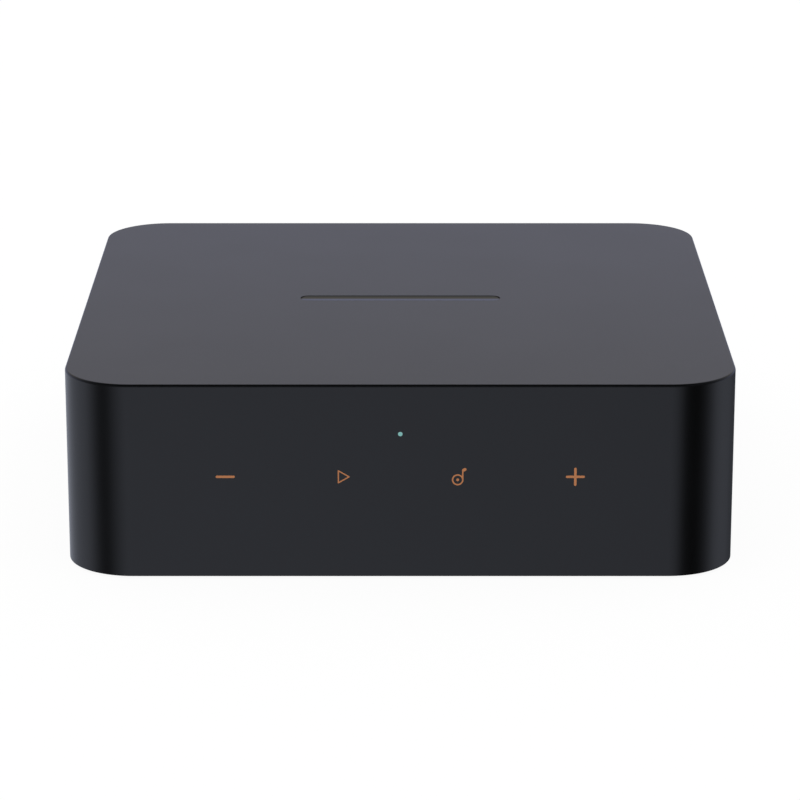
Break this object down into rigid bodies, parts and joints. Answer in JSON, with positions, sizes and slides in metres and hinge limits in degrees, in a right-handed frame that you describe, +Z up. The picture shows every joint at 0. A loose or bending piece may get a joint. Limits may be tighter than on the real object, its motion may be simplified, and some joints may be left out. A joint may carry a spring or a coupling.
{
  "type": "network music streamer",
  "caption": "Low rounded-square black box with touch keys and a status light in front, and a rear row of audio, optical, network and power sockets; it plays music from a network.",
  "frame": {"origin": "middle of the body in plan, on the surface that the foot ring stands on", "axes": "+Z up, front with the touch keys towards -Y, sockets towards +Y, +X to the right seen from the front"},
  "size_m": [0.14, 0.1482, 0.042],
  "materials": {
    "shell_plastic": "satin black moulding",
    "cover_plastic": "fine matt texture",
    "panel_plastic": "fine matt texture",
    "foot_rubber": "matt",
    "badge_gloss": "polished",
    "symbol_copper": "satin print",
    "status_light": "clear, lit",
    "black_screw": "blackened",
    "circuit_board": "solder mask",
    "conductive_foam": "open-celled",
    "led_body": "clear",
    "zinc_screw": "zinc plated",
    "flex_film": "film",
    "ivory_connector": "moulded",
    "module_board": "solder mask",
    "tin_plate": "bright tin",
    "thermal_pad": "soft",
    "heat_sink": "extruded",
    "chip_plastic": "moulded",
    "capacitor_can": "drawn can",
    "antenna_board": "solder mask",
    "cable_jacket": "extruded",
    "gold_contact": "gold plated",
    "socket_plastic": "moulded",
    "nickel": "nickel plated",
    "white_insulator": "moulded",
    "red_insulator": "moulded",
    "orange_insulator": "moulded",
    "shutter_plastic": "moulded",
    "spring_steel": "bare",
    "optical_element": "clear tinted",
    "link_light": "clear tinted"
  },
  "bodies": {
    "housing": {"upper_shell": "shell_plastic", "bottom_cover": "cover_plastic", "rear_panel": "panel_plastic", "foot_ring": "foot_rubber", "top_badge": "badge_gloss", "touch_symbols": "symbol_copper", "status_light_pipe": "status_light", "case_screws": "black_screw", "touch_board": "circuit_board", "touch_electrodes": "conductive_foam", "status_led": "led_body", "touch_board_screws": "zinc_screw", "touch_flex_cable": "flex_film", "flex_sockets": "ivory_connector", "main_board": "circuit_board", "board_screws": "zinc_screw", "network_module": "module_board", "shield_can": "tin_plate", "thermal_pad": "thermal_pad", "heat_sink": "heat_sink", "board_chips": "chip_plastic", "capacitors": "capacitor_can", "antenna_left": "antenna_board", "antenna_right": "antenna_board", "antenna_cable_left": "cable_jacket", "antenna_cable_right": "cable_jacket", "antenna_plugs": "gold_contact", "line_out_housing": "socket_plastic", "line_in_housing": "socket_plastic", "coax_out_housing": "socket_plastic", "phono_sleeves": "nickel", "phono_insulators_white": "white_insulator", "phono_insulators_red": "red_insulator", "phono_insulator_coax": "orange_insulator", "phono_contacts": "gold_contact", "optical_out_socket": "socket_plastic", "optical_in_socket": "socket_plastic", "optical_out_spring": "spring_steel", "optical_in_spring": "spring_steel", "optical_elements": "optical_element", "trigger_socket": "socket_plastic", "trigger_ring_nut": "nickel", "network_socket_shield": "tin_plate", "network_socket_insert": "socket_plastic", "network_contacts": "gold_contact", "network_lights": "link_light", "power_socket_shell": "tin_plate", "power_socket_tongue": "socket_plastic"},
    "shutter_out": {"optical_out_shutter": "shutter_plastic"},
    "shutter_in": {"optical_in_shutter": "shutter_plastic"}
  },
  "joints": [
    {"name": "shutter_out_swing", "type": "hinge", "parent": "housing", "child": "shutter_out", "pos_m": [0.00379, 0.06815, 0.0181], "axis": [-1, 0, 0], "range_deg": [0, 90], "stiffness_Nm_per_rad": 0.0004, "springref_deg": -20.05, "deforming": ["optical_out_spring"]},
    {"name": "shutter_in_swing", "type": "hinge", "parent": "housing", "child": "shutter_in", "pos_m": [-0.00845, 0.06815, 0.0181], "axis": [-1, 0, 0], "range_deg": [0, 90], "stiffness_Nm_per_rad": 0.0004, "springref_deg": -20.05, "deforming": ["optical_in_spring"]}
  ]
}
